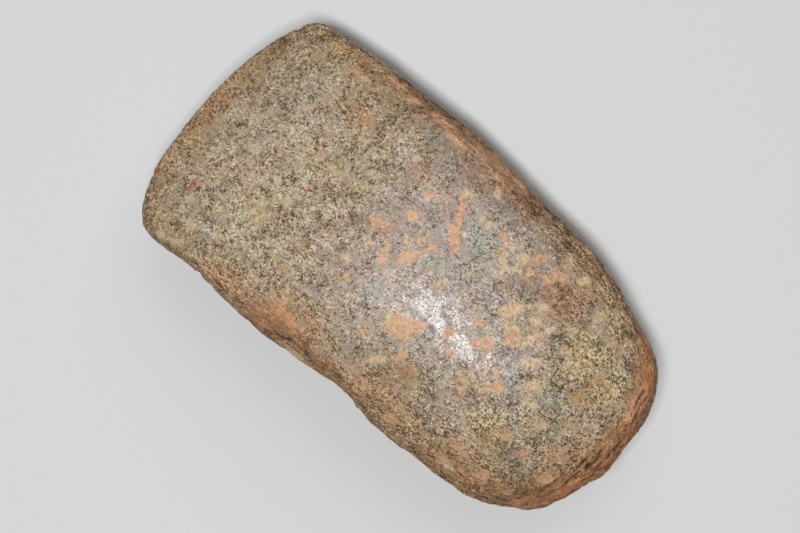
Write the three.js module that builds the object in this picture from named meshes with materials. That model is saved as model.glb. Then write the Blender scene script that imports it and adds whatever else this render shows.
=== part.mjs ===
// A polished stone axe head, ground from one pebble of speckled diorite, lying on one face.
// Millimetres. +X runs along the axe to the butt, -X to the cutting edge, +Z is up, and the
// origin is on the surface that it lies on, below the middle of its length and width.
import * as THREE from "three";
import { mergeVertices } from "three/addons/utils/BufferGeometryUtils.js";

// ---- Driving dimensions ----

const LENGTH = 125; // cutting edge to butt
const HALF_WIDTH = 33;
const EDGE_HALF_THICKNESS = 1.1; // the cutting edge is worn blunt
const REST_FLAT_DEPTH = 0.7; // how deep the small flat on the lower face is ground

// The two ground faces. Each belly is the greatest height of its face over the level of the
// cutting edge, and bellyAt is where along X that is. The butt is a share of the belly.
const UPPER_FACE = { side: 1, belly: 21.5, bellyAt: 12, buttShare: 0.86 };
const LOWER_FACE = { side: -1, belly: 20.5, bellyAt: 4, buttShare: 0.82 };

// The outline seen from above is a many-sided ground form with rounded corners. Each side is
// given by the direction that it faces, in degrees from +X, and its distance from the middle.
const OUTLINE_SIDES = [
  { part: "butt end", faces: 0, distance: 62.5 },
  { part: "butt end, far bevel", faces: 31, distance: 59 },
  { part: "far shoulder", faces: 69, distance: 39.5 },
  { part: "far side, rear", faces: 86, distance: 32 },
  { part: "far side, front", faces: 95, distance: 34.5 },
  { part: "far corner of the edge", faces: 141, distance: 61 },
  { part: "cutting edge, far half", faces: 169, distance: 62.5 },
  { part: "cutting edge, near half", faces: 185, distance: 63 },
  { part: "near corner of the edge", faces: 213, distance: 64 },
  { part: "near side, front", faces: 270, distance: 33.5 },
  { part: "near side, rear", faces: 273, distance: 33.5 },
  { part: "near shoulder", faces: 301, distance: 49.5 },
  { part: "butt end, near bevel", faces: 337, distance: 61 },
];
const CORNER_CRISPNESS = 40; // the higher, the tighter the outline's rounded corners

// How sharply each face turns down to the rim: high is a late, tight turn, low a full round.
const TURN_AT_EDGE = 13;
const TURN_AT_BUTT = 4.6;

// How much the faces are crowned across, as a fall at the long sides: little at the edge.
const CROSS_FALL_AT_EDGE = 1.5;
const CROSS_FALL_AT_BELLY = 7.5;

// Places where stone is missing. Each is a round-bottomed hollow: its middle, its reach along
// X, Y and Z, and how far its middle is pushed in.
const SCARS = [
  { part: "long hollow in the near side", at: [-14, -30, 7], reach: [15, 9, 9], push: [0, 2.2, -1.6] },
  { part: "notch in the near side", at: [4, -33, -1], reach: [10, 7, 15], push: [0, 2.1, 0] },
  { part: "ramp into the notch", at: [-7, -33, -1], reach: [11, 7, 15], push: [0, 0.8, 0] },
  { part: "flake off the near side", at: [-38, -33, 0], reach: [9, 6, 12], push: [0, 0.7, 0] },
  { part: "chip at the far corner", at: [-51, 28, 4], reach: [10, 6, 6], push: [0, -0.3, -1.1] },
  { part: "dimple in the far side", at: [-9, 32, 8], reach: [13, 6, 7], push: [0, -0.9, -0.5] },
  { part: "battering on the butt", at: [62, 9, 5], reach: [8, 13, 9], push: [-1.3, 0, -0.6] },
  { part: "battering at the near bevel", at: [56, -22, 6], reach: [9, 10, 9], push: [-1.1, 0.8, -0.7] },
  { part: "flake scar below the butt", at: [50, 12, -14], reach: [15, 14, 9], push: [-0.7, 0, 1.8] },
  { part: "spall under the near side", at: [-30, -28, -9], reach: [16, 8, 8], push: [0, 1.3, 1.2] },
];

// ---- Mesh fineness ----

const RIM_STEPS = 136; // points round the outline, an even number
const FACE_STEPS = 15; // rings from the rim to the spine, on each face
const SPINE_SHARE = 0.42; // length of the spine, where the rings end, as a share of LENGTH

// ---- The form ----

const mix = (a, b, share) => a + (b - a) * share;
const smooth = (low, high, value) => THREE.MathUtils.smoothstep(value, low, high);

// 1 on the outline, 0 in the middle, and in proportion between.
function outlineShare(x, y) {
  let sum = 0;
  for (const side of OUTLINE_SIDES) {
    const angle = THREE.MathUtils.degToRad(side.faces);
    const towards = (x * Math.cos(angle) + y * Math.sin(angle)) / side.distance;
    sum += Math.max(0, towards) ** CORNER_CRISPNESS;
  }
  return sum ** (1 / CORNER_CRISPNESS);
}

class Outline extends THREE.Curve {
  getPoint(t, target = new THREE.Vector3()) {
    const angle = Math.PI * (1 + 2 * t); // starts at the cutting edge
    const x = Math.cos(angle);
    const y = Math.sin(angle);
    const radius = 1 / outlineShare(x, y);
    return target.set(x * radius, y * radius, 0);
  }
}

// Height of a face along the middle: a wedge that swells from the edge to the belly, and then
// falls a little to the butt.
function bellyHeight(x, { belly, bellyAt, buttShare }) {
  const half = LENGTH / 2;
  if (x > bellyAt) return belly * mix(1, buttShare, ((x - bellyAt) / (half - bellyAt)) ** 2);
  return mix(belly, EDGE_HALF_THICKNESS, ((bellyAt - x) / (bellyAt + half)) ** 2);
}

// Height of a face over any point inside the outline.
function faceHeight(x, y, face) {
  const middle = bellyHeight(x, face);
  const swell = smooth(-LENGTH / 2, face.bellyAt, x);
  const fall = mix(CROSS_FALL_AT_EDGE, CROSS_FALL_AT_BELLY, swell) * (y / HALF_WIDTH) ** 2;
  const crown = middle - fall * (middle / face.belly);
  const turn = mix(TURN_AT_EDGE, TURN_AT_BUTT, smooth(-LENGTH / 2, LENGTH / 2, x));
  const share = Math.min(1, outlineShare(x, y));
  return crown * Math.sqrt(1 - share ** turn);
}

function pushIntoScars(point) {
  for (const { at, reach, push } of SCARS) {
    const offset = point.clone().sub(new THREE.Vector3(...at)).divide(new THREE.Vector3(...reach));
    if (offset.lengthSq() >= 1) continue;
    const depth = (1 - offset.lengthSq()) ** 2;
    point.addScaledVector(new THREE.Vector3(...push), depth);
  }
  return point;
}

// One face as rings of points: ring 0 is the rim, the last ring the spine, where the points of
// the two long sides meet in pairs.
function faceRings(face) {
  const rim = new Outline().getSpacedPoints(RIM_STEPS).slice(0, RIM_STEPS);
  const lowest = REST_FLAT_DEPTH - LOWER_FACE.belly;
  return Array.from({ length: FACE_STEPS + 1 }, (_, j) => {
    const inwards = 1 - Math.cos((Math.PI / 2) * (j / FACE_STEPS));
    return rim.map((point, i) => {
      const opposite = rim[(RIM_STEPS - i) % RIM_STEPS];
      const spineX = mix(face.bellyAt, (point.x + opposite.x) / 2, SPINE_SHARE);
      const x = mix(point.x, spineX, inwards);
      const y = mix(point.y, 0, inwards);
      const z = j === 0 ? 0 : face.side * faceHeight(x, y, face);
      const placed = pushIntoScars(new THREE.Vector3(x, y, z));
      placed.z = Math.max(placed.z, lowest);
      return placed;
    });
  });
}

function axeGeometry() {
  const upper = faceRings(UPPER_FACE);
  const lower = faceRings(LOWER_FACE);
  const positions = [];
  const triangle = (a, b, c) => {
    if (a.equals(b) || b.equals(c) || c.equals(a)) return;
    for (const corner of [a, b, c]) positions.push(...corner);
  };
  const quad = (a, b, c, d) => {
    triangle(a, b, c);
    triangle(a, c, d);
  };
  for (let j = 0; j < FACE_STEPS; j++) {
    for (let i = 0; i < RIM_STEPS; i++) {
      const next = (i + 1) % RIM_STEPS;
      quad(upper[j][i], upper[j][next], upper[j + 1][next], upper[j + 1][i]);
      quad(lower[j][i], lower[j + 1][i], lower[j + 1][next], lower[j][next]);
    }
  }
  const geometry = new THREE.BufferGeometry();
  geometry.setAttribute("position", new THREE.Float32BufferAttribute(positions, 3));
  const merged = mergeVertices(geometry, 1e-3);
  merged.computeBoundingBox();
  const middle = merged.boundingBox.getCenter(new THREE.Vector3());
  merged.translate(-middle.x, -middle.y, -merged.boundingBox.min.z);
  merged.computeVertexNormals();
  return merged;
}

const stone = new THREE.MeshStandardMaterial({ color: 0x94836c, roughness: 0.5, metalness: 0 });

const axeHead = new THREE.Mesh(axeGeometry(), stone);
axeHead.name = "axe_head";

const polishedStoneAxe = new THREE.Group();
polishedStoneAxe.add(axeHead);

export default polishedStoneAxe;
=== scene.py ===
# A polished stone axe head of speckled diorite, lying on one face. Everything is in metres, with
# +Z up: -X is the cutting edge, +X the butt, +Y the far long side and -Y the near one.
import math
import random

import bmesh
import bpy
import numpy as np
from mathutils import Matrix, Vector, noise
from mathutils.bvhtree import BVHTree


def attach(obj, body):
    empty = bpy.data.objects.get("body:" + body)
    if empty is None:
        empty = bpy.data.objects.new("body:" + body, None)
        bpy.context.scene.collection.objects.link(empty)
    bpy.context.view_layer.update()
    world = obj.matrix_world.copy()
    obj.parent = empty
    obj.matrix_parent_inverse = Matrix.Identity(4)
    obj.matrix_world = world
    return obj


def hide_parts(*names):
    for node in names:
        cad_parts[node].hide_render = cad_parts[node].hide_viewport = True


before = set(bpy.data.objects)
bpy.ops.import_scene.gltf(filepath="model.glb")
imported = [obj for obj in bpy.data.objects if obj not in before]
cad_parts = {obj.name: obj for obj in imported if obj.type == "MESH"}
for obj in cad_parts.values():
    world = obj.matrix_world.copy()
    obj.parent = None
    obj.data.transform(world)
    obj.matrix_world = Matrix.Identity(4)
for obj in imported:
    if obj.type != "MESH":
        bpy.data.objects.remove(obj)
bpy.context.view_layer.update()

MM = 0.001

# ---- Camera ----
# It looks straight down on the axe head, and is turned so that the cutting edge is at the upper
# left and the butt at the lower right. The rim, halfway up, sets the scale of the picture.

RIM_LEVEL = 20 * MM
VIEW_TURN = math.radians(41.12)
VIEW_WIDTH = 183 * MM  # what the frame takes in at the level of the rim
AIM = Vector((-3.75, -1.0)) * MM
LENS_MM = 100

camera = bpy.data.objects.new("camera", bpy.data.cameras.new("camera"))
bpy.context.collection.objects.link(camera)
camera.data.lens = LENS_MM
camera_distance = VIEW_WIDTH * LENS_MM / camera.data.sensor_width
camera.location = (AIM.x, AIM.y, RIM_LEVEL + camera_distance)
camera.rotation_euler = (0, 0, VIEW_TURN)
bpy.context.scene.camera = camera

# ---- Floor and light ----
# A plain pale table top under a plain studio light: one small soft box beside the camera, which
# puts the gloss on the belly, a wide dim one over the whole table, and a pale room around it.

FLOOR_SIZE = 6.0
FLOOR_COLOUR = (0.66, 0.65, 0.63, 1)
ROOM_COLOUR = (0.9, 0.95, 1.0, 1)
ROOM_STRENGTH = 0.12


def soft_box(name, place, width, depth, power, colour):
    """An oblong light at a place, in metres, that faces the middle of the axe head."""
    lamp = bpy.data.objects.new(name, bpy.data.lights.new(name, "AREA"))
    bpy.context.collection.objects.link(lamp)
    lamp.data.shape = "RECTANGLE"
    lamp.data.size = width
    lamp.data.size_y = depth
    lamp.data.energy = power
    lamp.data.color = colour
    lamp.location = place
    towards = Vector((0, 0, RIM_LEVEL)) - Vector(place)
    lamp.rotation_euler = towards.to_track_quat("-Z", "Y").to_euler()


soft_box("key_light", (0.005, -0.122, 1.0), 0.30, 0.11, 7.9, (0.97, 1.0, 1.04))
soft_box("top_light", (-0.4, 0.9, 1.3), 1.4, 1.4, 6.5, (0.97, 0.98, 1.0))

room = bpy.data.worlds.new("room")
room.use_nodes = True
room.node_tree.nodes["Background"].inputs["Color"].default_value = ROOM_COLOUR
room.node_tree.nodes["Background"].inputs["Strength"].default_value = ROOM_STRENGTH
bpy.context.scene.world = room
bpy.context.scene.view_settings.view_transform = "Standard"

table_form = bmesh.new()
bmesh.ops.create_grid(table_form, x_segments=1, y_segments=1, size=FLOOR_SIZE / 2)
table_top = bpy.data.objects.new("table_top", bpy.data.meshes.new("table_top"))
table_form.to_mesh(table_top.data)
table_form.free()
bpy.context.collection.objects.link(table_top)
table_paint = bpy.data.materials.new("table_paint")
table_paint.use_nodes = True
table_paint.node_tree.nodes["Principled BSDF"].inputs["Base Color"].default_value = FLOOR_COLOUR
table_paint.node_tree.nodes["Principled BSDF"].inputs["Roughness"].default_value = 0.9
table_top.data.materials.append(table_paint)

# ---- The axe head: its form ----
# One river pebble of speckled diorite. Its faces were ground on wet sandstone and polished over
# the belly, its sides and butt were only pecked into shape with a hammerstone, and use and burial
# have battered, pitted and flaked it since.

SMOOTH_LEVELS = 2
MESH_STEP = 0.53 * MM

cad_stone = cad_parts["axe_head"]
blank = cad_stone.data.copy()
form = bmesh.new()
form.from_mesh(blank)
bmesh.ops.remove_doubles(form, verts=form.verts, dist=0.001 * MM)
bmesh.ops.join_triangles(
    form, faces=form.faces, angle_face_threshold=0.7, angle_shape_threshold=1.2
)
form.to_mesh(blank)
form.free()
blank.materials.clear()

stone = bpy.data.objects.new("polished_axe_head", blank)
bpy.context.collection.objects.link(stone)


def with_modifiers(piece):
    """The piece's mesh with its modifiers worked in, which are then taken off it."""
    graph = bpy.context.evaluated_depsgraph_get()
    worked = bpy.data.meshes.new_from_object(piece.evaluated_get(graph))
    piece.modifiers.clear()
    return worked


rounding = stone.modifiers.new("rounding", "SUBSURF")
rounding.levels = SMOOTH_LEVELS
rounding.render_levels = SMOOTH_LEVELS
stone.data = with_modifiers(stone)
smooth_skin = bmesh.new()
smooth_skin.from_mesh(stone.data)
skin_tree = BVHTree.FromBMesh(smooth_skin)
smooth_skin.free()

even_mesh = stone.modifiers.new("even_mesh", "REMESH")
even_mesh.mode = "VOXEL"
even_mesh.voxel_size = MESH_STEP
even_mesh.use_smooth_shade = True
stone.data = with_modifiers(stone)
for vertex in stone.data.vertices:
    vertex.co = skin_tree.find_nearest(vertex.co)[0]
stone.data.update()

points = np.array([vertex.co for vertex in stone.data.vertices]) / MM
normals = np.array([vertex.normal for vertex in stone.data.vertices])
X, Y, Z = points.T
RIM = RIM_LEVEL / MM


def rise(low, high, value):
    """0 below low and 1 above high, with a smooth ramp between them."""
    share = np.clip((value - low) / (high - low), 0, 1)
    return share * share * (3 - 2 * share)


def roll(size, seed, depth=1, stretch=(1, 1, 1)):
    """Cloudy noise at every point, about -1 to 1. size is the width of its lumps in mm."""
    start = Vector((13.7, 5.3, 9.1)) * seed
    places = points / np.array(stretch) / size
    return np.array([noise.fractal(Vector(at) + start, 1.0, 2.0, depth) for at in places])


def pecks(spacing, radius, seed):
    """Round-bottomed pits: 1 at the middle of a pit, 0 outside. Sizes in mm."""
    start = Vector((3.1, 7.7, 1.9)) * seed
    found = np.zeros(len(points))
    for i, at in enumerate(points / spacing):
        distances, centres = noise.voronoi(Vector(at) + start)
        size = radius / spacing * (0.45 + 0.75 * abs(noise.noise(centres[0] * 7.3)) * 2)
        found[i] = max(0.0, 1 - (distances[0] / size) ** 2)
    return found


# Marks are placed by a flat ruler held at the level of the rim and read from above, which shows
# the raised faces a little larger than they are.
EYE = np.array([AIM.x, AIM.y]) / MM
EYE_HEIGHT = camera_distance / MM
swelling = EYE_HEIGHT / (EYE_HEIGHT - (Z - RIM))
RULER_X = EYE[0] + (X - EYE[0]) * swelling
RULER_Y = EYE[1] + (Y - EYE[1]) * swelling


def blob(x, y, length, width, turn=0):
    """1 in the middle of an oval patch on the ruler, 0 at its edge and negative outside it."""
    angle = math.radians(turn)
    along = (RULER_X - x) * math.cos(angle) + (RULER_Y - y) * math.sin(angle)
    across = (RULER_Y - y) * math.cos(angle) - (RULER_X - x) * math.sin(angle)
    return 1 - np.hypot(along / length, across / width)


def near_line(line):
    """Distance, in mm, over the upper side to a line through the given places on the ruler."""
    eye = Vector((*EYE, RIM + EYE_HEIGHT)) * MM
    nearest = np.full(len(points), 99.0)
    for start, end in zip(line, line[1:]):
        steps = max(2, math.ceil(3 * math.dist(start, end)))
        for share in np.linspace(0, 1, steps):
            spot = Vector((*(np.array(start) * (1 - share) + np.array(end) * share), RIM)) * MM
            found = skin_tree.ray_cast(eye, spot - eye)[0]
            if found is not None:
                gap = np.linalg.norm(points - np.array(found) / MM, axis=1)
                nearest = np.minimum(nearest, gap)
    return nearest


# The sides of the outline seen from above: the way each faces, in degrees, and how far out it is.
OUTLINE = [(0, 62.4), (31, 59), (69, 39.5), (88, 33), (95, 34.5), (141, 61), (170, 62.5),
           (185, 63), (213, 64), (271, 33.3), (301, 49.5), (337, 61)]
inset = np.min([
    out - X * math.cos(math.radians(faces)) - Y * math.sin(math.radians(faces))
    for faces, out in OUTLINE
], axis=0)


# How the surface was left: steep is the turned-down sides, pecked is hammered stone, polished is
# the glossy belly, and layered is where the stone splits in level sheets.
lean = 1 - np.abs(normals[:, 2]) + 0.06 * roll(7, 1, 2)
steep = rise(0.14, 0.44, lean)
pecked = steep * rise(-50, -30, X)
upper = rise(RIM - 2, RIM + 2, Z)
butt = rise(49, 58, X + 2 * roll(6, 2, 2))
polished = (1 - steep) * rise(-26, -6, X + 5 * roll(9, 3, 2)) * (1 - rise(26, 44, X + 5 * roll(8, 4)))
polished *= 1 - 0.6 * rise(6, 20, -Y + 4 * roll(9, 18))
far_layers = rise(2, 14, X) * rise(20, 26, Y)
near_layers = rise(18, 30, X) * rise(24, 29, -Y)
layered = steep * np.maximum(butt, np.maximum(far_layers, near_layers))

# The relief, in mm outwards along the surface's normal.
edge = 1 - rise(1, 5, inset)
relief = 0.10 * roll(16, 5, 2) * (1 - 0.5 * polished)
relief += pecked * (0.26 * roll(3.2, 6, 3) - 0.40 * pecks(2.6, 1.2, 7))
relief += edge * (0.16 * roll(2.2, 14, 2) - 0.18 * pecks(3.4, 1.0, 15))
relief += 0.50 * layered * roll(1.5, 8, 2, stretch=(5, 5, 1))
relief += 0.22 * (pecked - layered) * roll(1.8, 20, 2, stretch=(3, 3, 1))
relief += 0.35 * butt * steep * roll(5, 9, 2)
dull = (1 - polished) * (1 - steep)
relief += dull * (0.10 * roll(2.2, 10, 3) - 0.18 * pecks(4.2, 0.8, 11))
relief -= 0.10 * polished * pecks(5.5, 0.7, 12)

# Where the hollow in the near side has split open, over a ledge that still holds; hairlines in the
# faces; and creases where the butt has been struck. Each is a line through places in mm.
HOLLOW_CRACK = [(-17.2, -31.6), (-16.1, -31.4), (-14.4, -30.9), (-12.7, -30.4), (-11.3, -29.9),
                (-9.9, -29.8), (-7.8, -29.9), (-5.7, -30.3), (-3.9, -30.8)]
LEDGE_END = [(-16.1, -32.8), (-14.4, -31.7), (-12.7, -30.5)]
FINE_CRACKS = [
    [(7.5, -2.0), (8.5, -4.6), (9.0, -6.9)],
    [(13.4, 6.5), (15.0, 7.2), (16.5, 7.5), (17.4, 7.0)],
    [(12.0, -3.6), (13.2, -4.6)],
    [(10.6, -6.4), (12.0, -7.4)],
    [(-10.9, -28.1), (-8.8, -28.8), (-5.4, -29.8), (-3.6, -30.3)],
]
BUTT_CREASES = [
    [(58.7, -2.4), (59.2, -4.2), (59.3, -6.2), (59.0, -7.6)],
    [(60.6, -4.5), (60.8, -7.5), (60.2, -10.2)],
    [(58.3, 13.0), (59.1, 9.4), (59.8, 6.4)],
    [(57.0, 14.2), (57.7, 11.0)],
    [(58.2, -9.5), (57.6, -13.4), (56.4, -16.6)],
    [(60.6, 5.2), (60.9, 2.2), (60.7, -0.5)],
    [(57.4, -6.0), (57.2, -9.2)],
    [(54.6, -17.0), (55.4, -14.2)],
]
crack = 1 - rise(0.30, 1.05, near_line(HOLLOW_CRACK) + 0.25 * roll(1.8, 19, 2) + 0.05 * np.abs(X + 10.5))
crack = np.maximum(crack, 0.6 * (1 - rise(0.10, 0.6, near_line(LEDGE_END))))
relief -= 0.6 * crack
for line in FINE_CRACKS:
    hair = 1 - rise(0.05, 0.42, near_line(line))
    relief -= 0.12 * hair * (1 - polished)
    crack = np.maximum(crack, 0.6 * hair)
for line in BUTT_CREASES:
    crease = 1 - rise(0.10, 0.85, near_line(line) + 0.2 * roll(1.8, 23, 2))
    relief -= 0.35 * crease
    crack = np.maximum(crack, 0.7 * crease)

# Nicks: where flakes have left the rim of the far corner and the cutting edge. Each is a place, a
# reach and a depth.
NICKS = [(-42.8, 31.0, 0.8, 0.45), (-48.2, 30.7, 0.8, 0.3), (-50.2, 30.4, 0.9, 0.25),
         (-57.3, 24.9, 0.8, 0.35), (-59.9, 15.8, 0.8, 0.25), (-61.6, -6.0, 0.9, 0.2),
         (-60.0, -22.4, 0.8, 0.25), (-54.6, -30.6, 0.9, 0.3), (-37.4, -32.9, 1.4, 0.3)]
for x, y, reach, depth in NICKS:
    relief -= depth * rise(0, 1, 1.4 * (1 - np.hypot(RULER_X - x, RULER_Y - y) / reach))

# Where the rim stands a little proud, or lies a little back, of an even outline. Each is a place,
# a reach and a height.
SWELLS = [(-12, -33, 11, 0.65), (-21, -33, 8, 0.3), (57, -20, 9, 0.55), (61.5, 9, 10, 0.5),
          (62, -4, 8, 0.3), (-54, -31, 12, 0.45), (-60, -20, 8, 0.2), (19, -32.5, 8, 0.35),
          (-8, 33, 9, 0.45), (-24, 33, 12, -0.35), (-59, 22, 8, -0.25), (11, 32, 8, -0.3),
          (43, -30, 12, -0.3), (45, 25.5, 8, -0.2)]
for x, y, reach, height in SWELLS:
    relief += height * rise(7, 2, inset) * rise(0, 0.8, 1 - np.hypot(X - x, Y - y) / reach)

# The worn stone still rests on its flat, so nothing moves there.
relief *= rise(0.15, 1.5, Z)
points += normals * relief[:, None]
points[:, 2] = np.maximum(points[:, 2], 0)
stone.data.vertices.foreach_set("co", (points * MM).astype(np.float32).ravel())
stone.data.update()

# ---- The axe head: its marks ----
# Films of ochre, straw-coloured crust, single big crystals and stains that time has left on the
# stone. An oval is given by its place in mm, its half length and half width, and how far it is
# turned, in degrees. A shape is given by the corners of its outline, in mm.

OCHRE_FILMS = [
    (11.9, 16.6, 0.9, 0.6, -60), (-9.3, 9.6, 1.3, 1.2, 0), (-3.6, 6.9, 0.7, 0.6, 0),
    (-13.8, 3.2, 1.9, 1.1, 30), (21.7, 9.4, 0.9, 0.7, 0), (21.0, 6.6, 0.9, 0.5, -20),
    (50.3, -2.2, 1.0, 0.7, 0), (52.0, -9.3, 1.2, 0.8, 80), (23.9, -10.6, 0.8, 0.7, 0),
    (25.3, -13.2, 0.9, 0.8, 0), (39.3, -14.6, 1.5, 1.0, 10), (37.6, -17.5, 1.1, 0.9, 0),
    (45.1, -14.6, 1.0, 0.8, 60), (33.1, -23.4, 1.0, 0.7, 0), (35.6, -23.6, 0.9, 0.8, 0),
    (41.9, -24.7, 1.3, 0.9, 20), (17.5, -28.9, 1.4, 0.9, 0), (10.2, -16.4, 1.0, 0.8, 0),
    (-11.6, -11.1, 0.9, 0.8, 50), (-7.9, -9.7, 0.7, 0.6, 0), (-23.4, -19.0, 0.9, 0.8, 0),
    (-40.4, 25.7, 0.9, 0.7, 0), (-18.2, 30.6, 2.4, 0.6, 0), (-13.4, 29.2, 1.7, 0.6, 0),
    (-7.1, 30.4, 2.0, 0.5, 0), (-0.7, 31.3, 1.8, 0.45, 0), (-0.3, 29.2, 0.9, 0.4, 20),
    (-26.5, 30.2, 1.6, 0.5, 15), (51.0, -10.6, 1.4, 0.7, 65), (18.4, 1.2, 1.1, 0.6, 20),
    (53.5, -15.5, 1.8, 1.2, 40), (46.1, 2.2, 0.9, 0.6, 0), (-30.2, 30.7, 1.2, 0.4, 10),
    (4.6, 31.2, 1.5, 0.4, -8), (17.6, -8.3, 1.0, 0.5, 20), (-9.6, 16.1, 0.8, 0.4, 70),
]
OCHRE_SHAPES = [
    [(-4.3, 20.2), (-3.4, 20.9), (-2.2, 20.4), (-1.3, 19.3), (-1.6, 18.0), (-0.6, 16.7), (1.0, 14.7),
     (2.6, 12.6), (3.4, 11.0), (4.1, 10.7), (3.0, 9.4), (2.1, 10.4), (0.8, 10.6), (0.1, 11.2),
     (-0.2, 12.2), (-1.6, 13.8), (-1.4, 15.4), (-2.3, 17.3), (-3.0, 19.2)],
    [(-5.2, 2.4), (-3.7, 3.6), (-1.8, 4.8), (-1.2, 4.3), (-2.6, 2.7), (-2.3, 1.7), (-3.1, 0.8),
     (-4.1, -0.5), (-4.7, -0.2), (-4.9, 0.9), (-5.8, 1.6)],
    [(-9.4, 0.8), (-8.4, 0.5), (-8.1, -0.8), (-7.1, -2.1), (-7.3, -3.4), (-8.1, -3.9), (-8.5, -2.1),
     (-9.4, -0.8)],
    [(-1.8, 7.4), (-0.5, 7.4), (-0.2, 6.6), (-1.2, 5.9), (-1.8, 6.6)],
    [(20.6, -2.1), (21.6, -1.5), (22.2, 0.5), (23.2, 0.1), (24.1, -0.8), (23.7, -2.1), (22.4, -3.1),
     (20.4, -4.0), (20.0, -3.4)],
    [(13.2, -4.3), (14.4, -3.9), (15.6, -4.5), (15.5, -5.6), (14.8, -6.6), (14.0, -5.9), (13.6, -5.1)],
    [(24.3, 4.0), (25.6, 5.1), (26.9, 4.3), (29.3, 3.5), (28.3, 2.7), (26.9, 2.1), (26.4, 1.3),
     (25.6, 2.1), (24.5, 3.3)],
    [(27.7, -3.7), (28.6, -4.0), (30.1, -5.6), (32.0, -6.6), (32.5, -7.6), (31.3, -9.0), (29.7, -9.3),
     (28.9, -10.1), (28.5, -10.0), (29.9, -8.5), (30.2, -7.2), (29.6, -5.9), (28.1, -4.7)],
    [(2.8, -9.8), (5.1, -8.8), (7.9, -7.6), (9.4, -6.9), (10.0, -7.2), (9.4, -9.8), (8.1, -10.4),
     (8.3, -11.7), (9.1, -12.0), (8.3, -13.3), (6.7, -13.6), (4.4, -14.0), (2.8, -13.6), (2.3, -11.7)],
    [(5.0, 3.1), (5.8, 2.5), (6.0, 1.3), (5.1, 1.3)],
    [(18.0, 22.0), (19.3, 22.8), (20.6, 22.4), (20.6, 21.2), (19.0, 20.7), (17.7, 19.3), (17.0, 19.8),
     (18.2, 21.0)],
    [(18.3, 17.7), (19.3, 18.3), (20.3, 17.8), (20.2, 16.8), (19.2, 16.5)],
    [(7.7, 20.0), (8.7, 21.2), (9.7, 20.5), (10.3, 19.7), (9.0, 19.3)],
    [(22.5, 18.6), (23.3, 19.9), (23.9, 21.5), (24.9, 22.3), (26.7, 22.6), (27.0, 21.7), (25.9, 20.7),
     (25.1, 19.6), (24.6, 18.6), (23.3, 18.3)],
]
STRAW_FILMS = [
    (26.0, 5.6, 1.2, 0.7, -30), (22.3, 8.4, 2.2, 1.2, 60), (38.5, 20.9, 1.3, 0.9, -40),
    (27.1, 13.4, 1.0, 0.7, 0), (31.1, -15.4, 0.8, 0.6, 0), (6.4, -20.2, 2.8, 0.7, 45),
    (-12.4, -1.6, 0.8, 0.5, 0), (-22.6, 11.1, 1.4, 0.6, 5), (-21.6, 7.7, 0.8, 0.5, 0),
    (-35.9, -13.2, 2.0, 1.8, 90), (-46.0, -25.3, 0.9, 0.7, 0), (34.1, -28.2, 2.0, 0.6, -5),
    (-8.4, -31.5, 2.4, 0.6, -4), (-14.5, -7.5, 0.9, 0.8, 0), (-30.0, 5.5, 1.4, 0.8, 20),
    (44.5, 17.5, 1.2, 0.8, 40), (41.6, 7.2, 1.4, 0.8, 30), (38.6, -4.6, 1.5, 1.0, 60),
    (49.8, -3.0, 0.9, 0.6, 0), (31.8, 10.5, 1.1, 0.7, 60), (34.9, 13.9, 1.2, 0.7, 10),
]
STRAW_SHAPES = [
    [(-6.8, 5.1), (-5.8, 5.3), (-5.2, 4.1), (-5.7, 3.2), (-6.3, 3.6)],
    [(22.7, 5.1), (23.5, 6.1), (24.6, 6.2), (25.3, 5.6), (24.8, 4.8), (23.3, 4.1), (22.7, 4.5)],
    [(27.8, 4.0), (28.1, 5.6), (29.1, 6.1), (28.9, 7.5), (30.2, 8.0), (30.9, 7.2), (30.9, 5.3),
     (30.1, 4.0), (29.1, 3.0)],
    [(31.5, 2.4), (32.9, 2.7), (34.6, 4.0), (34.9, 2.7), (33.9, 1.7), (33.3, 0.5), (32.0, 0.8),
     (31.7, 1.7)],
    [(35.4, -1.8), (36.5, -0.8), (37.4, 0.5), (39.0, -0.8), (39.0, -1.8), (37.8, -2.1), (36.5, -3.1)],
    [(26.8, 9.3), (27.0, 10.1), (28.6, 11.1), (28.9, 10.3), (28.4, 9.2), (27.5, 9.0)],
    [(14.3, 18.7), (14.8, 19.4), (16.9, 19.9), (17.7, 19.3), (16.5, 17.8), (15.0, 18.0)],
    [(11.3, 17.0), (12.0, 16.7), (12.5, 15.3), (13.7, 14.7), (14.0, 13.0), (14.8, 12.7), (15.7, 14.7),
     (16.5, 15.7), (18.0, 16.0), (17.5, 16.7), (16.5, 17.3), (16.2, 16.3), (15.0, 15.3), (13.7, 15.7),
     (13.0, 16.3), (12.0, 17.3)],
    [(2.5, 19.7), (3.2, 20.1), (3.7, 19.7), (3.3, 18.8)],
    [(4.7, 19.7), (5.8, 20.0), (6.0, 19.3), (5.3, 18.8)],
    [(1.0, 27.0), (2.0, 27.3), (3.3, 26.0), (2.8, 24.8), (2.0, 25.3)],
    [(-4.3, 22.2), (-3.3, 22.7), (-1.3, 22.3), (-1.5, 21.3), (-3.3, 21.2)],
    [(28.7, 24.4), (30.0, 24.7), (31.0, 25.3), (30.7, 24.1), (29.7, 23.4), (28.9, 23.7)],
    [(24.5, 25.7), (25.2, 26.6), (26.0, 25.5), (25.1, 24.6)],
    [(40.3, 23.4), (41.2, 23.6), (41.8, 22.5), (40.9, 21.9)],
    [(46.3, 20.9), (47.3, 21.6), (47.9, 20.2), (46.4, 19.8)],
    [(37.7, 19.3), (39.3, 18.1), (40.5, 17.2), (40.0, 16.7), (38.6, 17.8), (37.5, 18.5)],
    [(1.1, -9.8), (2.3, -10.3), (2.4, -13.0), (1.9, -13.2), (1.3, -11.5)],
]
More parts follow.
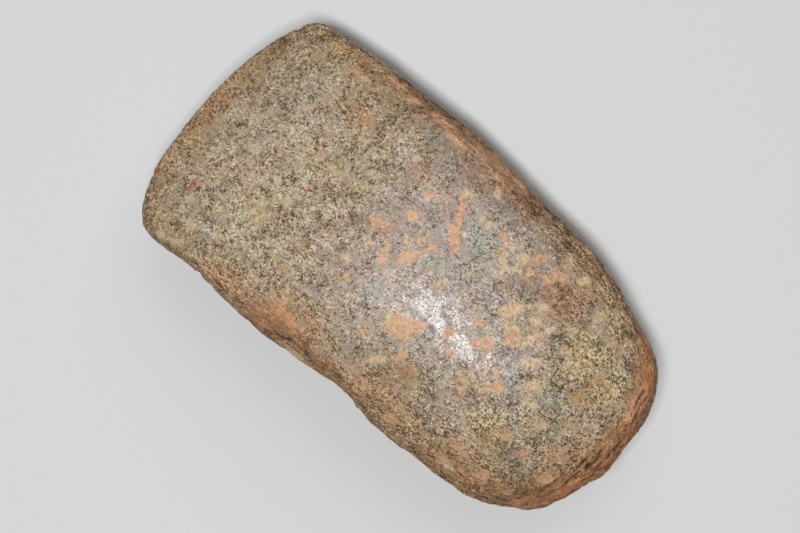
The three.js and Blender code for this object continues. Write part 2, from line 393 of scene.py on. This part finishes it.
# Red-brown clay, in the hollow of the near side and in patches round the butt.
CLAY_SHAPES = [
    [(-23.5, -28.5), (-21.0, -26.0), (-18.0, -24.8), (-15.0, -25.2), (-12.0, -27.0), (-11.0, -28.8),
     (-13.0, -29.8), (-16.0, -31.3), (-20.0, -32.5), (-24.0, -32.0), (-24.5, -30.0)],
    [(55.2, 15.2), (57.3, 16.0), (58.7, 12.4), (59.3, 9.3), (59.8, 6.4), (60.6, 3.4), (58.8, 3.4),
     (57.4, 5.4), (56.9, 8.3), (55.8, 10.6)],
    [(57.0, 1.2), (58.4, 1.4), (59.8, 0.4), (60.0, -1.0), (58.6, -1.9), (57.2, -1.2)],
    [(48.0, 22.8), (49.5, 21.2), (52.5, 19.9), (53.0, 21.0), (50.5, 22.2), (48.5, 23.3)],
    [(57.6, -8.0), (59.0, -7.6), (58.9, -12.0), (57.2, -15.6), (56.2, -15.0), (57.2, -11.5)],
]
# Where handling has eaten the films away.
WORN_FILMS = [(50.5, -8, 10, 10, 0), (38, -18, 10, 8, 0)]
SIENNA_SPOTS = [(46.0, 2.5, 1.3, 0.8, 20), (46.6, 4.3, 1.0, 0.7, 80), (48.6, 9.4, 1.1, 0.6, 30)]
RED_SPOTS = [(-51.3, -17.7, 0.9, 0.7, 30), (-51.5, -19.1, 0.9, 0.5, 80), (-60.0, -20.7, 0.8, 0.5, 90)]
# Single crystals, much bigger than the grains round them.
PALE_CRYSTALS = [
    (-46.6, -2.3, 1.5, 1.2, 0), (-37.7, -4.4, 1.0, 0.9, 0), (-44.0, 12.0, 1.0, 0.8, 30),
    (-51.0, 3.0, 1.2, 0.8, 40), (-28.6, 15.2, 1.1, 0.7, 10), (-33.0, -7.0, 1.0, 0.8, 60),
    (-24.0, -3.5, 0.9, 0.7, 0), (-50.2, -21.0, 0.8, 1.1, 0), (-49.6, -31.2, 1.2, 0.9, 0),
    (12.9, 19.0, 0.9, 0.7, 0), (40.2, -4.8, 1.2, 0.9, 0),
    (-17.4, 19.8, 1.0, 0.7, 20), (-46.5, -30.6, 1.5, 0.9, 30),
]
DARK_CRYSTALS = [
    (-48.6, -24.0, 1.2, 0.6, 70), (-48.2, -27.2, 1.3, 0.9, 0), (-32.0, -17.0, 1.0, 0.8, 0),
    (-48.2, -4.5, 1.0, 0.8, 40), (-49.7, -7.7, 0.9, 0.6, 0), (-50.6, 7.3, 0.9, 0.8, 0),
    (-48.1, 0.6, 0.7, 0.6, 0), (-47.4, 7.2, 0.8, 0.6, 60), (-47.8, 9.2, 0.8, 0.5, 0),
    (-36.4, -3.7, 0.7, 0.6, 90), (-30.7, -5.2, 0.9, 0.7, 60), (-18.5, 0.8, 1.7, 1.2, 0),
    (-16.6, -6.6, 1.4, 1.1, 20), (33.2, 10.6, 2.0, 1.4, 30), (31.2, 16.8, 1.6, 0.9, -20),
    (37.4, 16.6, 1.3, 1.0, 0), (38.0, 7.3, 0.9, 0.8, 0), (50.9, 16.0, 1.6, 1.3, 0),
    (15.1, 16.1, 0.9, 0.7, 0), (21.4, -18.6, 1.1, 0.8, 0), (46.8, -17.6, 1.6, 1.0, 0),
    (4.4, -19.2, 0.9, 0.5, 40), (-55.2, 7.6, 1.0, 0.8, 0),
    (-56.6, -20.6, 0.9, 0.7, 0), (30.3, -20.6, 1.4, 0.7, 50), (-50.2, 28.8, 1.5, 0.9, 0),
]
# The lower face has films of its own, strewn by chance.
LOWER_FACE_FILMS = 34
EDGE_SOFTNESS = 3.0  # how far outside a mark, in mm, its field still falls

chance = random.Random(41)
lower_films = [
    (chance.uniform(-45, 50), chance.uniform(-22, 22), chance.uniform(0.8, 2.6),
     chance.uniform(0.5, 1.4), chance.uniform(0, 180))
    for _ in range(LOWER_FACE_FILMS)
]


def shape(corners):
    """Distance, in mm, to the outline through these corners, negative outside it."""
    gap = np.full(len(points), 99.0)
    odd = np.zeros(len(points), bool)
    for (x1, y1), (x2, y2) in zip(corners, corners[1:] + corners[:1]):
        run, climb = x2 - x1, y2 - y1
        along = ((RULER_X - x1) * run + (RULER_Y - y1) * climb) / (run ** 2 + climb ** 2)
        along = np.clip(along, 0, 1)
        gap = np.minimum(gap, np.hypot(RULER_X - x1 - along * run, RULER_Y - y1 - along * climb))
        level = (y1 > RULER_Y) != (y2 > RULER_Y)
        odd ^= level & ((RULER_X - x1) * abs(climb) < (RULER_Y - y1) * run * np.sign(climb))
    return np.where(odd, gap, -gap)


def inside(ovals, shapes=(), face=upper):
    """How deep inside the nearest mark each point lies, in mm, and negative outside them."""
    depth = np.full(len(points), -EDGE_SOFTNESS)
    for x, y, length, width, turn in ovals:
        depth = np.maximum(depth, width * blob(x, y, length, width, turn))
    for corners in shapes:
        depth = np.maximum(depth, shape(corners))
    return np.where(face > 0.5, depth, -EDGE_SOFTNESS)


def cloud(patches, face=upper):
    """Soft-edged patches, 1 in the middle. Each is a place, a half length, half width and turn."""
    value = np.zeros(len(points))
    for patch in patches:
        value = np.maximum(value, rise(0, 0.75, blob(*patch)))
    return value * face


# Drifts of colour in the stone, several millimetres wide and soft at the edge.
GREEN_CLOUDS = [(5, 16, 8, 6, -20), (0.5, 4.5, 5, 3, 0), (42, -1, 7, 5, 0), (-5, -9.5, 5, 4, 0),
                (34, -4, 5, 3, 0), (-16, 27, 5, 3, 0)]
RUSSET_CLOUDS = [(-15, 19, 4, 5, 0), (-4, 26, 8, 4, 0), (-33, 19, 11, 5, 0), (-60, -5, 3, 12, 0),
                 (-31, -29, 12, 4, 0), (18, 12, 4, 3, 0), (46.5, 8, 3, 3, 0), (28, 18, 9, 7, 0)]
WARM_CLOUDS = [(60, -3, 6, 21, 0), (55, -13, 9, 14, 0), (-14, -24, 14, 5.5, 3), (12, -25, 18, 6, 2),
               (37, -24, 14, 7, 10), (30, 18, 10, 8, 0)]
STRAW_CLOUDS = [(42, 12, 10, 7, 0), (50, 8, 7, 8, 0), (36, -16, 8, 5, 0), (-47, 28, 8, 1.6, 15),
                (14, -18, 10, 4, 0), (27, -10, 8, 5, 0), (27, 8, 7, 6, 0)]
# Pale clouds lighten the stone; the one at (-3, -9), beside the gloss of the belly, is painted sheen,
# the haze round that gloss.
PALE_AND_SHEEN_CLOUDS = [(-38, 1, 12, 17, 0), (-34, -17, 14, 8, 0), (43, 12, 8, 8, 0), (13, 20, 6, 6, 0),
               (33, -15, 8, 5, 0), (47, 14, 6, 8, 0), (-31, -31, 19, 2.6, 0), (-16, -30, 8, 3.4, 0),
               (10, -28, 24, 5.5, 0), (32, -17, 8, 6, 0), (53, -2, 6, 6, 0), (51, 8, 5, 11, 0),
               (-3, -9, 7, 13, 0), (12, 8, 8, 6, 0), (5, 15.5, 6, 5, 0), (-50, -12, 5, 9, 0),
               (18, 30.5, 14, 3, -2), (41, 23.5, 9, 3.5, -15), (46, 20, 5, 5, 0), (-10, 17, 5, 5, 0)]
CLEAN_CLOUDS = [(40, 24.5, 15, 6.5, -15), (20, 28.5, 12, 4.5, 0), (17, -28.5, 20, 6.5, 0),
                (-32, -30.5, 15, 5, 0), (-37, 31, 12, 3, 0)]
DUSK_CLOUDS = [(-20, 27, 21, 4.4, 0), (-10, 24.2, 14, 4, -4), (5, 25.5, 9, 4, -6),
               (-37, 28, 8, 2.4, -8), (-18, 0.5, 4, 3, 0), (34, 13, 7, 6, 0), (28, 3, 5, 6, 0),
               (22, 14, 5, 4, 0), (15, 27.5, 12, 2.6, -6), (12, -20, 9, 4, 0), (43, -17, 8, 5, 0),
               (27, -13, 5, 4, 0), (44, -3, 5, 4, 0), (-15.5, 20.5, 4, 3.5, 0), (56, -17, 7, 7, 30),
               (60, 8, 4, 6, 0), (58, 17, 5, 4, -40), (49, -20, 5, 5, 0), (-58, 14, 4, 8, -10)]
ORANGE_CLOUDS = [(-17.2, -28.4, 6.8, 3.6, 14), (-10.5, -28.2, 4, 1.6, -14)]

# Where the polish is whole, and the line of the red band round the butt.
WHOLE_POLISH = [(7.5, -3.6, 6.0, 3.8, -15), (19.0, -5.8, 5.5, 3.2, -12), (13.0, -4.6, 5.0, 2.2, 0)]
BUTT_BAND = [(47, 24.2), (52.3, 21.8), (56.9, 15.5), (59.4, 9), (60.6, 3), (60.8, -4), (59.6, -11),
             (56.8, -17), (52.5, -23)]


def store(name, values):
    """Keeps one number for each point of the stone under a name that its material reads."""
    layer = stone.data.attributes.new(name, "FLOAT", "POINT")
    layer.data.foreach_set("value", values.astype(np.float32))


lower_ochre = inside(lower_films, face=1 - upper)
store("ochre_film", np.maximum(inside(OCHRE_FILMS, OCHRE_SHAPES), lower_ochre))
store("straw_film", inside(STRAW_FILMS, STRAW_SHAPES))
store("clay_film", inside([], CLAY_SHAPES))
store("sienna", inside(SIENNA_SPOTS))
store("red", inside(RED_SPOTS))
store("pale_crystal", inside(PALE_CRYSTALS))
store("dark_crystal", inside(DARK_CRYSTALS))
for name, patches in (
    ("worn_film", WORN_FILMS), ("green_cloud", GREEN_CLOUDS), ("russet_cloud", RUSSET_CLOUDS),
    ("warm_cloud", WARM_CLOUDS), ("straw_cloud", STRAW_CLOUDS), ("pale_and_sheen_cloud", PALE_AND_SHEEN_CLOUDS),
    ("clean_cloud", CLEAN_CLOUDS), ("dusk_cloud", DUSK_CLOUDS), ("orange_cloud", ORANGE_CLOUDS),
    ("whole_polish", WHOLE_POLISH),
):
    store(name, cloud(patches))
red_band = 1 - rise(1.2, 3.8, near_line(BUTT_BAND) + 1.3 * roll(5, 16, 3))
red_runs = rise(-0.15, 0.35, roll(7, 22, 3, stretch=(1, 1, 1.6)))
store("butt_band", np.maximum(red_band, 0.85 * butt * steep * (1 - upper) * red_runs))
store("pecked", pecked)
store("steep", steep)
# Darker and browner towards the outline.
store("near_outline", 1 - rise(1, 11, inset + 3 * roll(7, 17, 2)))
store("polished", polished)
store("rear", rise(2, 26, X + 4 * roll(9, 13)))
store("sunk", np.clip(-relief, -1, 1))
store("crack", crack)

# ---- The axe head: its finish ----
# Interlocked grains of pale feldspar and dark hornblende, half a millimetre to a millimetre
# across. The belly is polished, so it shines through a haze of tiny pits; the rest is dull, and
# iron from the soil has dyed the pecked sides and the butt orange.


class Shade:
    """A value in a material. Arithmetic on it adds Math nodes."""

    def __init__(self, tree, socket):
        self.tree = tree
        self.socket = socket

    def math(self, operation, first, second):
        node = self.tree.nodes.new("ShaderNodeMath")
        node.operation = operation
        for slot, value in zip(node.inputs, (first, second)):
            if isinstance(value, Shade):
                self.tree.links.new(value.socket, slot)
            else:
                slot.default_value = value
        return Shade(self.tree, node.outputs[0])

    def __add__(self, other):
        return self.math("ADD", self, other)

    def __radd__(self, other):
        return self.math("ADD", other, self)

    def __sub__(self, other):
        return self.math("SUBTRACT", self, other)

    def __rsub__(self, other):
        return self.math("SUBTRACT", other, self)

    def __mul__(self, other):
        return self.math("MULTIPLY", self, other)

    def __rmul__(self, other):
        return self.math("MULTIPLY", other, self)

    def also(self, name):
        """Another output of the same node."""
        return Shade(self.tree, self.socket.node.outputs[name])


class Finish:
    """A material under making."""

    def __init__(self, name):
        self.material = bpy.data.materials.new(name)
        self.material.use_nodes = True
        self.tree = self.material.node_tree
        self.tree.nodes.clear()

    def add(self, kind, settings=None, sockets=None, output=0):
        """A new node: its type, its settings, the values or links of its sockets."""
        node = self.tree.nodes.new("ShaderNode" + kind)
        for name, value in (settings or {}).items():
            setattr(node, name, value)
        for name, value in (sockets or {}).items():
            if isinstance(value, Shade):
                self.tree.links.new(value.socket, node.inputs[name])
            else:
                node.inputs[name].default_value = value
        return Shade(self.tree, node.outputs[output]) if node.outputs else None

    def field(self, name):
        """What was stored for each point under this name."""
        return self.add("Attribute", {"attribute_name": name}, output="Fac")

    def ramp(self, value, low, high):
        """0 below low and 1 above high, with a smooth ramp between them."""
        sockets = {"Value": value, "From Min": low, "From Max": high}
        return self.add("MapRange", {"interpolation_type": "SMOOTHSTEP"}, sockets)

    def cloudy(self, place, size, detail=2.0, roughness=0.55, distortion=0.0):
        """Noise about 0.5, whose lumps are about size mm wide."""
        sockets = {
            "Vector": place, "Scale": 1 / size, "Detail": detail,
            "Roughness": roughness, "Distortion": distortion,
        }
        return self.add("TexNoise", {"noise_dimensions": "3D"}, sockets)

    def blend(self, share, under, over, how="MIX"):
        """Two colours mixed; 6 and 7 are the Mix node's colour inputs and 2 its colour output."""
        sockets = {0: share, 6: under, 7: over}
        return self.add("Mix", {"data_type": "RGBA", "blend_type": how}, sockets, output=2)


def colour(red, green, blue):
    return (red, green, blue, 1.0)


PITH = colour(0.098, 0.060, 0.027)
BROWN_GRAIN = colour(0.240, 0.168, 0.103)
BEIGE_GRAIN = colour(0.440, 0.342, 0.234)
PALE_GRAIN = colour(0.78, 0.640, 0.455)
PINK_CAST = colour(1.08, 0.95, 0.94)
OLIVE_CAST = colour(0.94, 1.01, 0.90)
YELLOW_CAST = colour(1.05, 1.00, 0.80)
VIOLET_CAST = colour(0.97, 0.975, 1.08)
GREEN_TINT = colour(0.88, 1.04, 1.06)
RUSSET_TINT = colour(1.00, 0.86, 0.78)
STRAW_TINT = colour(1.04, 1.00, 0.80)
WARM_TINT = colour(1.02, 0.87, 0.74)
PALE_AND_SHEEN_TINT = colour(1.14, 1.14, 1.14)
OUTLINE_TINT = colour(0.97, 0.85, 0.71)
DUSK_TINT = colour(0.73, 0.68, 0.66)
CLEAN_TINT = colour(1.13, 1.13, 1.10)
RUBBED_TINT = colour(0.84, 0.83, 0.88)
RUST_TINT = colour(1.04, 0.84, 0.68)
# Darker where polished, and bluer as painted sheen.
POLISH_SHEEN_TINT = colour(0.84, 0.855, 1.00)
RUST = colour(0.50, 0.235, 0.105)
RUST_CAST = colour(1.55, 0.93, 0.60)
BUTT_RED = colour(0.58, 0.225, 0.090)
CRUST = colour(0.43, 0.265, 0.155)
OCHRE = colour(0.70, 0.430, 0.225)
PINK_OCHRE = colour(0.70, 0.385, 0.235)
STRAW = colour(0.70, 0.525, 0.310)
CLAY = colour(0.52, 0.245, 0.115)
PALE_CLAY = colour(0.74, 0.400, 0.205)
BUTT_CLAY_TINT = colour(1.25, 1.20, 1.25)
THIN_OCHRE_TINT = colour(0.74, 0.68, 0.66)
THIN_STRAW_TINT = colour(0.74, 0.70, 0.64)
# Films painted lighter on the steep sides, against the shade there.
STEEP_LIGHT_OCHRE_TINT = colour(1.28, 1.22, 1.25)
STEEP_LIGHT_STRAW_TINT = colour(1.28, 1.26, 1.25)
SIENNA = colour(0.58, 0.315, 0.090)
RED_EARTH = colour(0.55, 0.12, 0.065)
# Soil, which in the pits is partly painted shade.
SOIL_AND_SHADE = colour(0.085, 0.040, 0.017)
# Painted shadow for the cracks, hairlines and creases.
CRACK_SHADE = colour(0.036, 0.015, 0.007)
BIG_PALE_CRYSTAL = colour(0.62, 0.495, 0.345)
BIG_DARK_CRYSTAL = colour(0.60, 0.58, 0.58)

finish = Finish("polished_diorite")
own_place = finish.add("TexCoord", output="Object")
place = finish.add("VectorMath", {"operation": "SCALE"}, {0: own_place, "Scale": 1 / MM})
polish_here = finish.field("polished")
pecked_here = finish.field("pecked")
steep_here = finish.field("steep")
rear_here = finish.field("rear")
whole_here = finish.field("whole_polish")
near_outline_here = finish.field("near_outline")
clean_here = finish.field("clean_cloud")

# Grain: separate grains, clots of the dark mineral, and broad drifts, all in one tone.
wander = finish.add("TexNoise", None, {"Vector": place, "Scale": 1 / 0.9, "Detail": 2.0}, "Color")
bent = finish.add("VectorMath", {"operation": "MULTIPLY_ADD"}, {0: wander, 1: (1.2, 1.2, 1.2), 2: place})
grains = finish.add("TexVoronoi", None, {"Vector": bent, "Scale": 1 / 0.52}, "Color")
grain_tone = finish.add("SeparateColor", None, {"Color": grains}, "Red")
grain_hue = grain_tone.also("Green")
grain_warmth = grain_tone.also("Blue")
grit = finish.cloudy(place, 0.40, 4.0, 0.65, 0.15)
clots = finish.cloudy(place, 1.0, 3.0, 0.62, 0.3)
drifts = finish.cloudy(place, 3.6, 3.0, 0.62)
tone = (grit - 0.5) * 1.35 + (clots - 0.5) * 0.65 + (drifts - 0.5) * 0.45
tone = tone + (grain_tone - 0.5) * 0.22
calm = finish.ramp(finish.cloudy(place, 3.4, 4.0, 0.66, 0.5), 0.48, 0.62)
tone = tone * (1.20 - calm * 0.66) + calm * 0.02
tone = tone * (1 - polish_here * 0.20 - whole_here * 0.25 + rear_here * 0.20 + steep_here * 0.15)
tone = tone - rear_here * 0.02
grain = finish.blend(finish.ramp(tone, -0.26, -0.10), PITH, BROWN_GRAIN)
grain = finish.blend(finish.ramp(tone, -0.14, 0.03), grain, BEIGE_GRAIN)
grain = finish.blend(finish.ramp(tone, 0.03, 0.32), grain, PALE_GRAIN)

# A darker tone where polished, with a blue cast that is painted sheen; then the grains' own casts of
# colour, and then the drifts.
grain = finish.blend(polish_here, grain, POLISH_SHEEN_TINT, "MULTIPLY")
hue = (grain_hue - 0.5) * 0.20 + (finish.cloudy(place, 2.4, 3.0, 0.6) - 0.5) * 2.3
warmth = (grain_warmth - 0.5) * 0.22 + (finish.cloudy(place, 2.9, 3.0, 0.6) - 0.5) * 2.1
grain = finish.blend(finish.ramp(hue, 0.02, 0.50), grain, PINK_CAST, "MULTIPLY")
grain = finish.blend(finish.ramp(hue, -0.02, -0.50), grain, OLIVE_CAST, "MULTIPLY")
grain = finish.blend(finish.ramp(warmth, 0.02, 0.50), grain, YELLOW_CAST, "MULTIPLY")
grain = finish.blend(finish.ramp(warmth, -0.02, -0.50), grain, VIOLET_CAST, "MULTIPLY")
grain = finish.blend(finish.field("green_cloud"), grain, GREEN_TINT, "MULTIPLY")
grain = finish.blend(finish.field("russet_cloud"), grain, RUSSET_TINT, "MULTIPLY")
# Darker and browner towards the outline, less so in the clean clouds.
grain = finish.blend(near_outline_here * (1 - clean_here * 0.6), grain, OUTLINE_TINT, "MULTIPLY")
grain = finish.blend(clean_here, grain, CLEAN_TINT, "MULTIPLY")
grain = finish.blend(finish.field("straw_cloud"), grain, STRAW_TINT, "MULTIPLY")
grain = finish.blend(finish.field("warm_cloud"), grain, WARM_TINT, "MULTIPLY")
# Lighter in the pale clouds; beside the belly's gloss this is painted sheen.
grain = finish.blend(finish.field("pale_and_sheen_cloud"), grain, PALE_AND_SHEEN_TINT, "MULTIPLY")
dusk_share = finish.field("dusk_cloud") * finish.ramp(finish.cloudy(place, 1.8, 3.0), 0.36, 0.56)
grain = finish.blend(dusk_share, grain, DUSK_TINT, "MULTIPLY")

# Marks with ragged edges: a mark's own field, disturbed by noise, is cut off sharply, and single
# grains of the stone break through it.
ragged = (finish.cloudy(place, 1.3, 4.0, 0.68) - 0.5) * 3.2 + (grit - 0.5) * 0.8


def cut(name, shift=0.0, softness=0.20):
    """The share of a mark that shows at each point."""
    depth = finish.field(name) + ragged + shift
    return finish.ramp(depth, -softness, softness)


grain = finish.blend(cut("pale_crystal") * 0.75, grain, BIG_PALE_CRYSTAL)
grain = finish.blend(cut("dark_crystal") * 0.85, grain, BIG_DARK_CRYSTAL, "MULTIPLY")

# Rust in the pecked stone, in the hollow of the near side and round the butt.
sheets_place = finish.add("VectorMath", {"operation": "MULTIPLY"}, {0: place, 1: (0.25, 0.25, 1.0)})
sheets = finish.cloudy(sheets_place, 0.8, 4.0, 0.68)
rust_patches = finish.cloudy(place, 4.6, 3.0, 0.52)
pecked_share = finish.ramp(pecked_here + (rust_patches - 0.5) * 1.2 + near_outline_here * 0.2, 0.15, 0.75)
pecked_share = pecked_share * (1 - clean_here * 0.60)
dyed = finish.blend(pecked_share, grain, RUST_TINT, "MULTIPLY")
dyed = finish.blend(pecked_share * 0.22, dyed, CRUST)
band_here = finish.field("butt_band")
rust_share = finish.ramp(rust_patches + band_here * 0.14, 0.50, 0.72)
rust_share = rust_share * finish.ramp(pecked_here + band_here, 0.1, 0.6) * (1 - clean_here * 0.85)
rust_grain = finish.blend(0.45, RUST, finish.blend(1.0, grain, RUST_CAST, "MULTIPLY"))
dyed = finish.blend(rust_share * 0.55, dyed, rust_grain)
dyed = finish.blend(band_here * (0.60 + rust_share * 0.3), dyed, BUTT_RED)
orange_share = finish.ramp(finish.field("orange_cloud") + (rust_patches - 0.5) * 2.4, 0.20, 0.85)
dyed = finish.blend(orange_share * 0.75, dyed, rust_grain)

# Red-brown clay, and soil in the pits and between the sheets of the sides, where the darkening of the
# pits is partly painted shade; the cracks get painted shadow further on.
clay_share = cut("clay_film", -0.2, 0.9) * (0.88 - finish.ramp(tone, 0.02, -0.20) * 0.50)
clay_tone = finish.blend(finish.ramp(finish.cloudy(place, 1.5, 3.0, 0.65), 0.40, 0.62), CLAY, PALE_CLAY)
clay_tone = finish.blend(rear_here, clay_tone, BUTT_CLAY_TINT, "MULTIPLY")
dyed = finish.blend(clay_share, dyed, clay_tone)
soil_and_shade_share = finish.ramp(sheets + (grit - 0.5) * 0.5, 0.51, 0.36) * steep_here * (0.9 - clay_share * 0.5)
# The sunk places darken with their depth: soil, partly painted shade.
soil_and_shade_share = finish.ramp(finish.field("sunk") + (grit - 0.5) * -0.6, 0.10, 0.45) * 0.6 + soil_and_shade_share
dyed = finish.blend(soil_and_shade_share, dyed, SOIL_AND_SHADE)

# Films: thin dust of both colours over the rear half, and the marks themselves.
dust = finish.ramp(finish.cloudy(place, 2.6, 4.0, 0.7) + rear_here * 0.05, 0.60, 0.70) * 0.5
dust_tone = finish.blend(finish.ramp(drifts, 0.42, 0.56), STRAW, OCHRE)
film_grain = finish.ramp(tone, 0.06, -0.18) * 0.52
film_shade = finish.ramp(finish.cloudy(place, 0.9, 3.0, 0.6), 0.30, 0.62)
film_tone = finish.cloudy(place, 1.3, 3.0)
ochre_tone = finish.blend(finish.ramp(film_tone, 0.46, 0.64), OCHRE, PINK_OCHRE)
ochre_tone = finish.blend(1 - film_shade, ochre_tone, THIN_OCHRE_TINT, "MULTIPLY")
ochre_tone = finish.blend(whole_here, ochre_tone, RUBBED_TINT, "MULTIPLY")
# On the steep sides the films are painted lighter, painted light against the shade that falls there.
ochre_tone = finish.blend(steep_here, ochre_tone, STEEP_LIGHT_OCHRE_TINT, "MULTIPLY")
straw_tone = finish.blend(1 - film_shade, STRAW, THIN_STRAW_TINT, "MULTIPLY")
straw_tone = finish.blend(steep_here, straw_tone, STEEP_LIGHT_STRAW_TINT, "MULTIPLY")
worn_here = finish.field("worn_film")
ochre_share = cut("ochre_film", 0.08 - worn_here * 0.65)
straw_share = cut("straw_film", 0.08 - worn_here * 0.65)
skin = finish.blend(dust * (1 - polish_here * 0.5), dyed, dust_tone)
skin = finish.blend(cut("ochre_film", 0.7, 0.7) * 0.22, skin, ochre_tone)
skin = finish.blend(cut("straw_film", 0.7, 0.7) * 0.22, skin, straw_tone)
skin = finish.blend(straw_share * (0.88 - film_grain), skin, straw_tone)
skin = finish.blend(ochre_share * (0.92 - film_grain), skin, ochre_tone)
skin = finish.blend(cut("sienna") * (0.85 - film_grain), skin, SIENNA)
skin = finish.blend(cut("red") * (0.85 - film_grain), skin, RED_EARTH)
# Painted shadow in the cracks, the hairlines and the creases of the butt.
skin = finish.blend(finish.field("crack"), skin, CRACK_SHADE)

# Gloss: where the polish is whole the grains shine; pits, films and worn places do not.
whole_polish = finish.ramp(finish.cloudy(place, 2.4, 4.0, 0.7) + whole_here * 0.16, 0.46, 0.62)
shining = finish.ramp(grit, 0.42, 0.62)
film_share = ochre_share + straw_share
gloss = polish_here * (0.08 + whole_polish * (0.17 + shining * 0.85)) * (1 - film_share * 0.92)
roughness = 0.85 - polish_here * 0.30

# Bumps too fine for the mesh: grit that the polish has nearly worn away, and the pecked sides' own.
bite = 1 - polish_here * 0.93
height = (grit + finish.cloudy(place, 0.30, 3.0, 0.7) * 0.6) * bite
height = height + pecked_here * (clots + sheets * 1.5) * 1.6
bump = finish.add("Bump", None, {"Height": height, "Distance": 0.40 * MM, "Strength": 0.9})

surface = finish.add("BsdfPrincipled", None, {
    "Base Color": skin, "Roughness": roughness, "Normal": bump, "IOR": 1.35,
    "Coat Weight": gloss, "Coat Roughness": 0.30, "Coat IOR": 1.5,
})
finish.add("OutputMaterial", None, {"Surface": surface})
stone.data.materials.append(finish.material)

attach(stone, "root")
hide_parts("axe_head")
